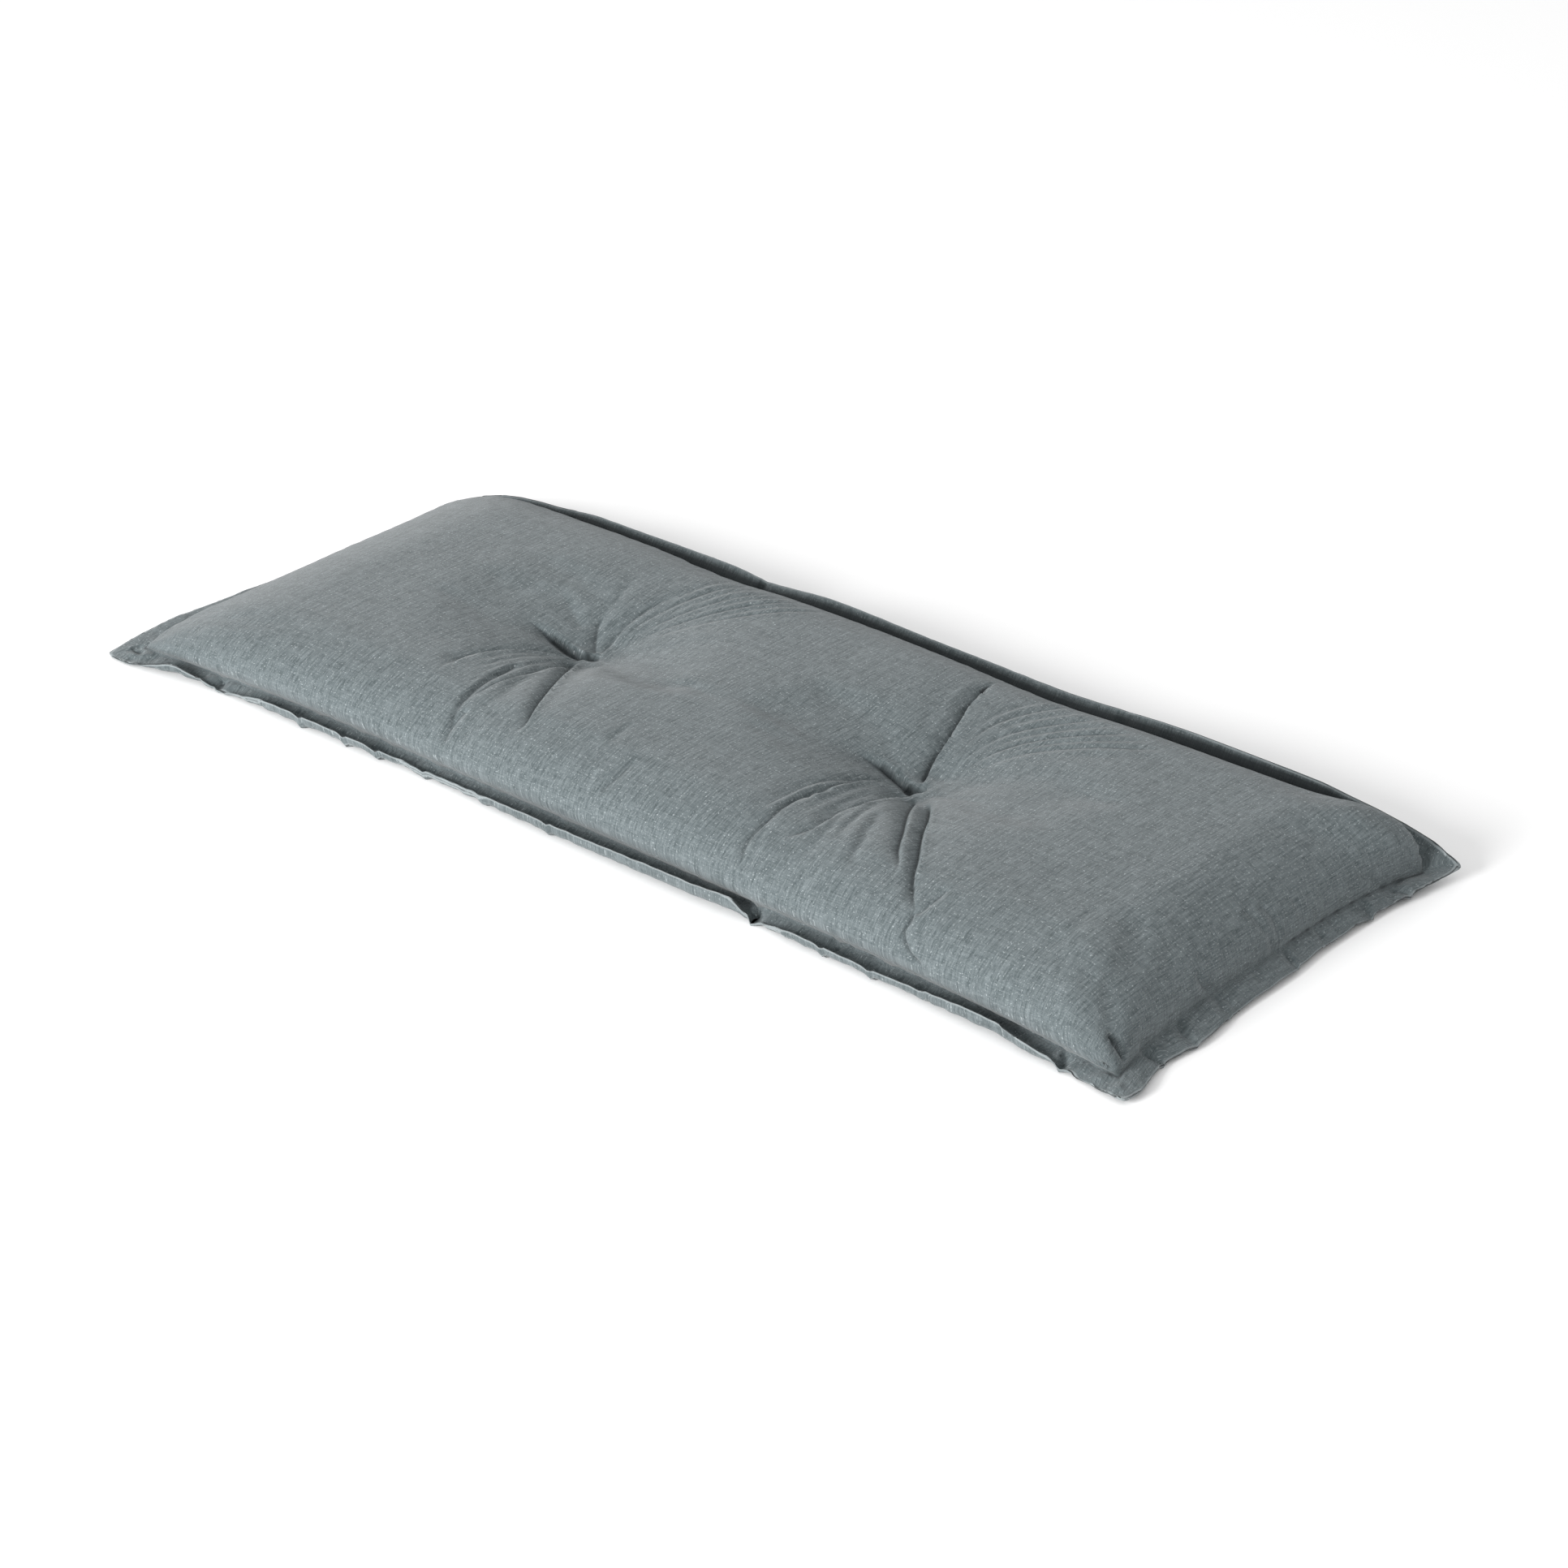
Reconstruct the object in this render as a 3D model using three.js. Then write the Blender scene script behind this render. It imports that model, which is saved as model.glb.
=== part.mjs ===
import * as THREE from 'three';

// Bench cushion: a filled cover with a flat flange all round and two tufts pulled through it.
// Millimetres. X runs along the bench, the front long side faces -Y, the underside lies on Z = 0,
// and the origin is under the middle of the cushion.

// Cut sizes of the cover
const LENGTH = 1200;
const DEPTH = 480;
const FLANGE = 25;
const FLANGE_THICKNESS = 4;
const HALF_LENGTH = LENGTH / 2;
const HALF_DEPTH = DEPTH / 2;

// Half sizes of the stitched rectangle that holds the filling
const HALF_X = HALF_LENGTH - FLANGE;
const HALF_Y = HALF_DEPTH - FLANGE;

// Filling: height of the crown, how far it falls off towards the left end and the long sides, and
// the rounded edge of its underside
const CROWN = 77;
const LEFT_FALL = 19;
const SIDE_FALL = 4;
const UNDER_EDGE = { shoulder: 38, roundness: 2 };

// Tufts: place, depth of the pit above and below, the cloth that they draw down round them, and the
// waist: the shallow sag that each leaves across the whole depth of the cushion
const TUFT_SPACING = 390;
const TUFTS = {
  left: new THREE.Vector2(-TUFT_SPACING / 2, 0),
  right: new THREE.Vector2(TUFT_SPACING / 2, 0),
};
const PIT_DEPTH = 21;
const PIT_RADIUS = 30;
const DIMPLE_DEPTH = 13;
const DIMPLE_RADIUS = 95;
const WAIST_DEPTH = 5;
const WAIST_WIDTH = 75;
const UNDER_PIT_HEIGHT = 13;
const UNDER_PIT_RADIUS = 58;

// The four sides. inset: how far the stitched line is drawn in at the middle of the side.
// seamUp: height of the stitched line there. bulge: how far the filling hangs out over it.
// shoulder, roundness: width of the rounded edge above it, and how square that edge is.
const SIDES = {
  front: { inset: 19, seamUp: 7, bulge: 24, shoulder: 60, roundness: 2.2 },
  right: { inset: 16, seamUp: 12, bulge: 4, shoulder: 64, roundness: 1.9 },
  back: { inset: 13, seamUp: 25, bulge: 4, shoulder: 56, roundness: 2.2 },
  left: { inset: 12, seamUp: 11, bulge: 6, shoulder: 110, roundness: 1.8 },
};
const CORNER_SEAM_UP = 7;

// The flange's rim, side by side from corner to corner. at: place along the side. in: how far the
// rim is drawn in from the cut size. up: height of the rim. curl: how far under the rim the cloth
// points where it bends up to it, so 0 is a straight flange and more is a rim that curls upwards.
const RIM = {
  front: [
    { at: -600, in: 0, up: 3, curl: 0 },
    { at: -566, in: 0, up: 2, curl: 0 },
    { at: -522, in: 10, up: 18, curl: 18 },
    { at: -466, in: 19, up: 4, curl: 4 },
    { at: -396, in: 19, up: 15, curl: 19 },
    { at: -290, in: 21, up: 14, curl: 19 },
    { at: -195, in: 25, up: 11, curl: 15 },
    { at: -40, in: 21, up: 16, curl: 21 },
    { at: 128, in: 20, up: 20, curl: 25 },
    { at: 172, in: 22, up: 22, curl: 26 },
    { at: 192, in: 26, up: 5, curl: 8 },
    { at: 240, in: 21, up: 14, curl: 19 },
    { at: 330, in: 20, up: 13, curl: 18 },
    { at: 450, in: 16, up: 20, curl: 24 },
    { at: 505, in: 11, up: 14, curl: 17 },
    { at: 538, in: 13, up: 3, curl: 3 },
    { at: 560, in: 8, up: 3, curl: 0 },
    { at: 600, in: 4, up: 6, curl: 0 },
  ],
  right: [
    { at: -240, in: 4, up: 6, curl: 0 },
    { at: -212, in: 3, up: 5, curl: 0 },
    { at: -178, in: 17, up: 3, curl: 0 },
    { at: -120, in: 11, up: 4, curl: 0 },
    { at: -62, in: 18, up: 5, curl: 2 },
    { at: 0, in: 18, up: 6, curl: 2 },
    { at: 60, in: 22, up: 6, curl: 2 },
    { at: 130, in: 21, up: 6, curl: 2 },
    { at: 200, in: 13, up: 7, curl: 0 },
    { at: 240, in: 1.5, up: 13, curl: 0 },
  ],
  back: [
    { at: -600, in: 12, up: 4, curl: 0 },
    { at: -566, in: 8, up: 19, curl: 2 },
    { at: -530, in: 10, up: 31, curl: 4 },
    { at: -490, in: 14, up: 37, curl: 5 },
    { at: -400, in: 17, up: 47, curl: 7 },
    { at: -230, in: 17, up: 49, curl: 7 },
    { at: -184, in: 16, up: 45, curl: 5 },
    { at: -92, in: 18, up: 53, curl: 7 },
    { at: 60, in: 18, up: 50, curl: 7 },
    { at: 169, in: 17, up: 48, curl: 7 },
    { at: 332, in: 18, up: 56, curl: 8 },
    { at: 449, in: 17, up: 55, curl: 8 },
    { at: 525, in: 13, up: 46, curl: 6 },
    { at: 566, in: 8, up: 34, curl: 3 },
    { at: 600, in: 0, up: 13, curl: 0 },
  ],
  left: [
    { at: -240, in: 1.5, up: 3, curl: 0 },
    { at: -195, in: 3, up: 9, curl: 0 },
    { at: -149, in: 5, up: 13, curl: 1 },
    { at: -103, in: 9, up: 12, curl: 1 },
    { at: 0, in: 13, up: 11, curl: 1 },
    { at: 110, in: 14, up: 11, curl: 1 },
    { at: 200, in: 12, up: 7, curl: 0 },
    { at: 240, in: 12, up: 4, curl: 0 },
  ],
};
const CURL_KICK = 0.05;

// Creases that run out from the tufts. bearing: degrees from +X towards +Y where the crease leaves
// the tuft. turn: degrees by which it has swung at its end. reach: length. deep, wide: its trough.
const CREASES = [
  { tuft: 'left', bearing: 188, turn: 4, reach: 85, deep: 9, wide: 14 },
  { tuft: 'left', bearing: 232, turn: 8, reach: 130, deep: 4, wide: 14 },
  { tuft: 'left', bearing: 270, turn: 12, reach: 190, deep: 4, wide: 16 },
  { tuft: 'left', bearing: 294, turn: 0, reach: 205, deep: 7, wide: 15 },
  { tuft: 'left', bearing: 129, turn: -6, reach: 75, deep: 5, wide: 14 },
  { tuft: 'left', bearing: 84, turn: -6, reach: 150, deep: 4, wide: 16 },
  { tuft: 'left', bearing: 62, turn: -8, reach: 170, deep: 4, wide: 17 },
  { tuft: 'left', bearing: 25, turn: 10, reach: 110, deep: 3, wide: 17 },
  { tuft: 'right', bearing: 186, turn: 3, reach: 85, deep: 9, wide: 14 },
  { tuft: 'right', bearing: 112, turn: -4, reach: 205, deep: 8, wide: 15 },
  { tuft: 'right', bearing: 266, turn: 4, reach: 150, deep: 5, wide: 15 },
  { tuft: 'right', bearing: 297, turn: 4, reach: 165, deep: 6, wide: 15 },
  { tuft: 'right', bearing: 316, turn: -10, reach: 290, deep: 7, wide: 15 },
  { tuft: 'right', bearing: 78, turn: -14, reach: 190, deep: 4, wide: 16 },
  { tuft: 'right', bearing: 55, turn: -4, reach: 165, deep: 4, wide: 17 },
  { tuft: 'right', bearing: 20, turn: 6, reach: 120, deep: 3, wide: 17 },
];
const CREASE_START = 10;
const CREASE_RISE = 26;
const CREASE_FADE = 0.7;

// Mesh: steps along each side, and the rings between the rim and the inner field
const STEPS_X = 56;
const STEPS_Y = 22;
const FINE_ALONG_X = 1.2;
const FINE_ALONG_Y = 0.6;
const FINE_SPREAD = 0.13;
const STEP_SAMPLES = 2000;
const FLANGE_SHARES = [0.94, 0.66, 0.34, 0.1];
const UNDER_FLANGE_SHARES = [0.94, 0.62, 0.2];
const ROLL_HEIGHTS = [0, 0.1, 0.24, 0.4, 0.56, 0.71, 0.84, 0.93, 0.985];
const UNDER_ROLL_HEIGHTS = [0, 0.3, 0.65, 0.93, 1];

const CLOTH_GREY = 0x7a8284;

function lerp(a, b, share) {
  return a + (b - a) * share;
}

function smooth(share) {
  const s = Math.min(Math.max(share, 0), 1);
  return s * s * (3 - 2 * s);
}

// Height share of a rounded edge, 0 on the stitched line and 1 from its width inwards
function edgeShare(distance, { shoulder, roundness }) {
  const left = 1 - Math.min(Math.max(distance / shoulder, 0), 1);
  return Math.pow(1 - Math.pow(left, roundness), 1 / roundness);
}

// Distance from the stitched line at which the rounded edge has the given height share
function edgeInset(share, { shoulder, roundness }) {
  return shoulder * (1 - Math.pow(1 - Math.pow(share, roundness), 1 / roundness));
}

// The end and the long side that a place belongs to, above or beneath
function sidesAt(x, y, above) {
  if (!above) return [UNDER_EDGE, UNDER_EDGE];
  return [x < 0 ? SIDES.left : SIDES.right, y < 0 ? SIDES.front : SIDES.back];
}

// Values of a side's rim at a place along it, eased from row to row
function rimAt(rows, at) {
  let n = 1;
  while (n < rows.length - 1 && rows[n].at < at) n += 1;
  const before = rows[n - 1];
  const after = rows[n];
  const share = smooth((at - before.at) / (after.at - before.at));
  return {
    in: lerp(before.in, after.in, share),
    up: lerp(before.up, after.up, share),
    curl: lerp(before.curl, after.curl, share),
  };
}

// 1 along the middle of a side, easing to 0 at its corners
function awayFromCorner(along, half) {
  return 1 - Math.pow(Math.min(Math.abs(along) / half, 1), 4);
}

// Height of the stitched line near a point of the stitched rectangle
function seamHeight(x, y) {
  const near = [
    { side: SIDES.front, gap: HALF_Y + y, fade: awayFromCorner(x, HALF_X) },
    { side: SIDES.back, gap: HALF_Y - y, fade: awayFromCorner(x, HALF_X) },
    { side: SIDES.left, gap: HALF_X + x, fade: awayFromCorner(y, HALF_Y) },
    { side: SIDES.right, gap: HALF_X - x, fade: awayFromCorner(y, HALF_Y) },
  ];
  let sum = 0;
  let weights = 0;
  for (const { side, gap, fade } of near) {
    const weight = 1 / Math.pow(Math.max(gap, 0) + 1, 2);
    sum += weight * lerp(CORNER_SEAM_UP, side.seamUp, fade);
    weights += weight;
  }
  return sum / weights;
}

// Depth of one crease at a point
function creaseDepth(crease, x, y) {
  const tuft = TUFTS[crease.tuft];
  const dx = x - tuft.x;
  const dy = y - tuft.y;
  const radius = Math.hypot(dx, dy);
  if (radius <= CREASE_START || radius >= crease.reach) return 0;
  const run = radius / crease.reach;
  const line = THREE.MathUtils.degToRad(crease.bearing + crease.turn * run);
  const across = dx * Math.sin(line) - dy * Math.cos(line);
  const along = dx * Math.cos(line) + dy * Math.sin(line);
  if (along < 0) return 0;
  const rise = smooth((radius - CREASE_START) / CREASE_RISE);
  const fade = Math.pow(1 - run, CREASE_FADE);
  return crease.deep * rise * fade * Math.exp(-Math.pow(across / crease.wide, 2));
}

// Height of the top cloth in the inner field, before the rounded edge takes it down to the seam
function crownHeight(x, y) {
  let height = CROWN;
  height -= LEFT_FALL * Math.pow(Math.max(-x, 0) / HALF_X, 3);
  height -= SIDE_FALL * Math.pow(Math.abs(y) / HALF_Y, 2);
  for (const tuft of Object.values(TUFTS)) {
    const radius = Math.hypot(x - tuft.x, y - tuft.y);
    height -= PIT_DEPTH * Math.exp(-radius / PIT_RADIUS);
    height -= DIMPLE_DEPTH * Math.exp(-Math.pow(radius / DIMPLE_RADIUS, 2));
    height -= WAIST_DEPTH * Math.exp(-Math.pow((x - tuft.x) / WAIST_WIDTH, 2));
  }
  for (const crease of CREASES) height -= creaseDepth(crease, x, y);
  return height;
}

// Height of the bottom cloth: flat on the ground, drawn up under the tufts
function undersideHeight(x, y) {
  let height = 0;
  for (const tuft of Object.values(TUFTS)) {
    const share = Math.min(Math.hypot(x - tuft.x, y - tuft.y) / UNDER_PIT_RADIUS, 1);
    height += UNDER_PIT_HEIGHT * Math.pow(1 - share, 2);
  }
  return height;
}

// Plan position of a point of the stitched rectangle once the filling has drawn its sides in
function drawnIn(x, y) {
  const [endSide, longSide] = sidesAt(x, y, true);
  const pullX = endSide.inset * awayFromCorner(y, HALF_Y);
  const pullY = longSide.inset * awayFromCorner(x, HALF_X);
  return new THREE.Vector2(x * (1 - pullX / HALF_X), y * (1 - pullY / HALF_Y));
}

// A point of the top cloth, from its place in the stitched rectangle
function topPoint(x, y) {
  const [endSide, longSide] = sidesAt(x, y, true);
  const endShare = edgeShare(HALF_X - Math.abs(x), endSide);
  const longShare = edgeShare(HALF_Y - Math.abs(y), longSide);
  const share = endShare * longShare;
  const plan = drawnIn(x, y);
  plan.x += Math.sign(x) * endSide.bulge * 4 * endShare * (1 - endShare) * longShare;
  plan.y += Math.sign(y) * longSide.bulge * 4 * longShare * (1 - longShare) * endShare;
  return new THREE.Vector3(plan.x, plan.y, lerp(seamHeight(x, y) + FLANGE_THICKNESS / 2,
    crownHeight(x, y), share));
}

// A point of the bottom cloth, from its place in the stitched rectangle
function bottomPoint(x, y) {
  const [endSide, longSide] = sidesAt(x, y, false);
  const endShare = edgeShare(HALF_X - Math.abs(x), endSide);
  const longShare = edgeShare(HALF_Y - Math.abs(y), longSide);
  const share = endShare * longShare;
  const plan = drawnIn(x, y);
  return new THREE.Vector3(plan.x, plan.y, lerp(seamHeight(x, y) - FLANGE_THICKNESS / 2,
    undersideHeight(x, y), share));
}

// Steps from -1 to 1, closer together near the given places: the sums of the density of steps are
// shared out evenly
function steps(count, fineAt, strength) {
  const peak = (t, place) => Math.exp(-Math.pow((t - place) / FINE_SPREAD, 2));
  const density = (t) => 1 + strength * fineAt.reduce((sum, place) => sum + peak(t, place), 0);
  const sums = [0];
  for (let n = 0; n < STEP_SAMPLES; n += 1) {
    sums.push(sums[n] + density(-1 + (2 * (n + 0.5)) / STEP_SAMPLES));
  }
  const places = [];
  let n = 0;
  for (let k = 0; k <= count; k += 1) {
    const wanted = (sums[STEP_SAMPLES] * k) / count;
    while (n < STEP_SAMPLES && sums[n + 1] <= wanted) n += 1;
    places.push(-1 + (2 * n) / STEP_SAMPLES);
  }
  return places;
}

const tuftShare = TUFTS.right.x / HALF_X;
const ALONG_X = steps(STEPS_X, [-tuftShare, tuftShare], FINE_ALONG_X);
const ALONG_Y = steps(STEPS_Y, [0], FINE_ALONG_Y);

// Stations round the perimeter, counterclockwise from the front left corner
function perimeter() {
  const stations = [];
  for (let i = 0; i < STEPS_X; i += 1) {
    stations.push({ side: 'front', x: ALONG_X[i], y: -1, i, j: 0 });
  }
  for (let j = 0; j < STEPS_Y; j += 1) {
    stations.push({ side: 'right', x: 1, y: ALONG_Y[j], i: STEPS_X, j });
  }
  for (let i = STEPS_X; i > 0; i -= 1) {
    stations.push({ side: 'back', x: ALONG_X[i], y: 1, i, j: STEPS_Y });
  }
  for (let j = STEPS_Y; j > 0; j -= 1) {
    stations.push({ side: 'left', x: -1, y: ALONG_Y[j], i: 0, j });
  }
  return stations;
}
const STATIONS = perimeter();

// The rim point of a station, and how much the flange curls there. Along a side the corners' own
// draw-in is shared out, so that neighbouring sides meet at the corner's tip.
function rimPoint(station) {
  const x = station.x * HALF_LENGTH;
  const y = station.y * HALF_DEPTH;
  const isLong = station.side === 'front' || station.side === 'back';
  const rim = rimAt(RIM[station.side], isLong ? x : y);
  const cornerIn = (side, atStart) => RIM[side][atStart ? 0 : RIM[side].length - 1].in;
  if (isLong) {
    const atStart = station.side === 'front';
    const pull = lerp(-cornerIn('left', atStart), cornerIn('right', atStart), (station.x + 1) / 2);
    const outward = station.y;
    return { point: new THREE.Vector3(x - pull, y - outward * rim.in, rim.up), curl: rim.curl };
  }
  const atStart = station.side === 'left';
  const pull = lerp(-cornerIn('front', atStart), cornerIn('back', atStart), (station.y + 1) / 2);
  const outward = station.x;
  return { point: new THREE.Vector3(x - outward * rim.in, y - pull, rim.up), curl: rim.curl };
}

// A ring of the flange. share: 1 at the rim, 0 on the stitched line. face: 1 above, -1 below.
// Across its width the flange is a parabola whose corner lies under the rim by the curl.
function flangeRing(share, face) {
  return STATIONS.map((station) => {
    const rim = rimPoint(station);
    const seamX = station.x * HALF_X;
    const seamY = station.y * HALF_Y;
    const plan = drawnIn(seamX, seamY);
    const seam = new THREE.Vector3(plan.x, plan.y, seamHeight(seamX, seamY));
    const outward = new THREE.Vector3(rim.point.x - seam.x, rim.point.y - seam.y, 0).normalize();
    const bend = rim.point.clone().addScaledVector(outward, rim.curl * CURL_KICK);
    bend.z -= rim.curl;
    const curve = new THREE.QuadraticBezierCurve3(seam, bend, rim.point);
    const point = curve.getPoint(share);
    const slope = curve.getTangent(share);
    const run = slope.dot(outward);
    const normal = outward.clone().multiplyScalar(-slope.z).setZ(run).normalize();
    const half = share === 1 ? 0 : FLANGE_THICKNESS / 2;
    return point.addScaledVector(normal, face * half);
  });
}

// The place in the stitched rectangle where a station's rounded edge has the given height share
function edgePlace(stationX, stationY, height, above) {
  const [endSide, longSide] = sidesAt(stationX, stationY, above);
  return [stationX * (HALF_X - edgeInset(height, endSide)),
    stationY * (HALF_Y - edgeInset(height, longSide))];
}

// The cover as one closed mesh: the rings of the top, its field, then those of the underside
function buildCover() {
  const points = [];
  const faces = [];
  const count = STATIONS.length;

  const addRing = (ring) => ring.map((point) => points.push(point) - 1);
  const joinRings = (outer, inner, up) => {
    for (let k = 0; k < count; k += 1) {
      const next = (k + 1) % count;
      const quad = [outer[k], outer[next], inner[next], inner[k]];
      if (!up) quad.reverse();
      faces.push([quad[0], quad[1], quad[2]], [quad[0], quad[2], quad[3]]);
    }
  };

  const fillField = (ring, height, place, up) => {
    const grid = Array.from({ length: STEPS_X + 1 }, () => new Array(STEPS_Y + 1));
    STATIONS.forEach((station, k) => { grid[station.i][station.j] = ring[k]; });
    for (let i = 1; i < STEPS_X; i += 1) {
      for (let j = 1; j < STEPS_Y; j += 1) {
        const point = place(...edgePlace(ALONG_X[i], ALONG_Y[j], height, up));
        grid[i][j] = points.push(point) - 1;
      }
    }
    for (let i = 0; i < STEPS_X; i += 1) {
      for (let j = 0; j < STEPS_Y; j += 1) {
        const quad = [grid[i][j], grid[i + 1][j], grid[i + 1][j + 1], grid[i][j + 1]];
        if (!up) quad.reverse();
        faces.push([quad[0], quad[1], quad[2]], [quad[0], quad[2], quad[3]]);
      }
    }
  };

  const rim = addRing(flangeRing(1, 1));
  const layers = [
    { shares: FLANGE_SHARES, heights: ROLL_HEIGHTS, place: topPoint, up: true },
    { shares: UNDER_FLANGE_SHARES, heights: UNDER_ROLL_HEIGHTS, place: bottomPoint, up: false },
  ];
  for (const layer of layers) {
    let outer = rim;
    for (const share of layer.shares) {
      const inner = addRing(flangeRing(share, layer.up ? 1 : -1));
      joinRings(outer, inner, layer.up);
      outer = inner;
    }
    for (const height of layer.heights) {
      const inner = addRing(STATIONS.map((station) => (
        layer.place(...edgePlace(station.x, station.y, height, layer.up)))));
      joinRings(outer, inner, layer.up);
      outer = inner;
    }
    fillField(outer, layer.heights[layer.heights.length - 1], layer.place, layer.up);
  }

  // Cloth that would hang lower lies on the ground
  const geometry = new THREE.BufferGeometry();
  const positions = points.flatMap((point) => [point.x, point.y, Math.max(point.z, 0)]);
  geometry.setAttribute('position', new THREE.Float32BufferAttribute(positions, 3));
  geometry.setIndex(faces.flat());
  geometry.computeVertexNormals();
  return geometry;
}

const cloth = new THREE.MeshStandardMaterial({ color: CLOTH_GREY, roughness: 0.95, metalness: 0 });
const cushion = new THREE.Mesh(buildCover(), cloth);
cushion.name = 'cushion';

const group = new THREE.Group();
group.add(cushion);
export default group;
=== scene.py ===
import math

import bpy
import numpy as np
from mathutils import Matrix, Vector, noise
from mathutils.bvhtree import BVHTree
from mathutils.kdtree import KDTree


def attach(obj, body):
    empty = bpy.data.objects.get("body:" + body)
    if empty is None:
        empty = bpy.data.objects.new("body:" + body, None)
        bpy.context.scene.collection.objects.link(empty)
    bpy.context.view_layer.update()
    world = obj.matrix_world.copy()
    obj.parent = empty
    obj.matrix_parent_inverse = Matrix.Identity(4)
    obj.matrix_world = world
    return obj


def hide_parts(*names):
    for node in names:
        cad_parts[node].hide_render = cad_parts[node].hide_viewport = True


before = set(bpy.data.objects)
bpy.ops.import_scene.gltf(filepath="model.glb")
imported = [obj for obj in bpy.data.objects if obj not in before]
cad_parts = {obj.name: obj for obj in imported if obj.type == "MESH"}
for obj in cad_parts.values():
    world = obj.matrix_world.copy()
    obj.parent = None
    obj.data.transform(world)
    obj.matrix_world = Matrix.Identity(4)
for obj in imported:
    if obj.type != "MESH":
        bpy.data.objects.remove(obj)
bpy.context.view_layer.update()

# A filled bench cushion with a flat flange all round and two tufts pulled through it. Metres.
# X runs along the bench, the front long side faces -Y, and the underside lies on Z = 0.

MM = 0.001

# Camera, as fitted to the photo
PHOTO_WIDTH = 1932
AZIMUTH = 41.10
ELEVATION = 28.35
DISTANCE = 3.677
FOCAL_PIXELS = 5088
LOOK_AT = (0.0482, -0.00995, 0.0)
SENSOR = 36

# Stitched rectangle that holds the filling, how far the filling draws each side in, how high the
# stitched line lies in the middle of each side and at the corners, and the tufts, in mm
SIDES = ("front", "right", "back", "left")
HALF_X = 575
HALF_Y = 215
INSET = {"front": 19, "right": 16, "back": 13, "left": 12}
SEAM_UP = {"front": 7, "right": 12, "back": 25, "left": 11}
CORNER_SEAM_UP = 7
TUFTS = [(-195, 0), (195, 0)]

# Fineness of the cloth's mesh, in mm: longest edges before the smoothing and on the flange, and
# after the smoothing beside ripples and beside the creases that are at least DEEP_CREASE deep
LONGEST_EDGE = 12
LONGEST_FLANGE_EDGE = 8
LONGEST_RIPPLE_EDGE = 2.5
LONGEST_CREASE_EDGE = 1.5
FINE_BESIDE_RIPPLE = 6.2
FINE_BESIDE_CREASE = 3.5
FINE_BESIDE_SEAM = 5
FINE_INSIDE_SEAM = 4
FINE_ROUND_TUFT = 30
FINEST_ROUND_TUFT = 12
DEEP_CREASE = 2.4

# Cloth thinner than this is flange, and cloth lower than this stays flat, in mm
THIN_CLOTH = 7.5
LEFT_FLAT_BELOW = 1.0

# Least values of the marks on the cover for points that are flange, partly flange, or rim
IS_FLANGE = 0.5
PARTLY_FLANGE = 0.02
IS_RIM = 0.98

# Filling: the pressure that tightens the cloth, its number of steps, how far it may move a point
# and how far the cloth sinks first. The cloth is held round the tufts and up to HELD_BESIDE_SEAM
# inside the stitched line, and is free FREE_AFTER further in. All in mm.
PRESSURE = 0.5
SWELL_STEPS = 20
MOST_SWELL = 3.0
SINK_FIRST = 2.5
HELD_ROUND_TUFT = 20
HELD_BESIDE_SEAM = 2
FREE_AFTER = 30

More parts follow.
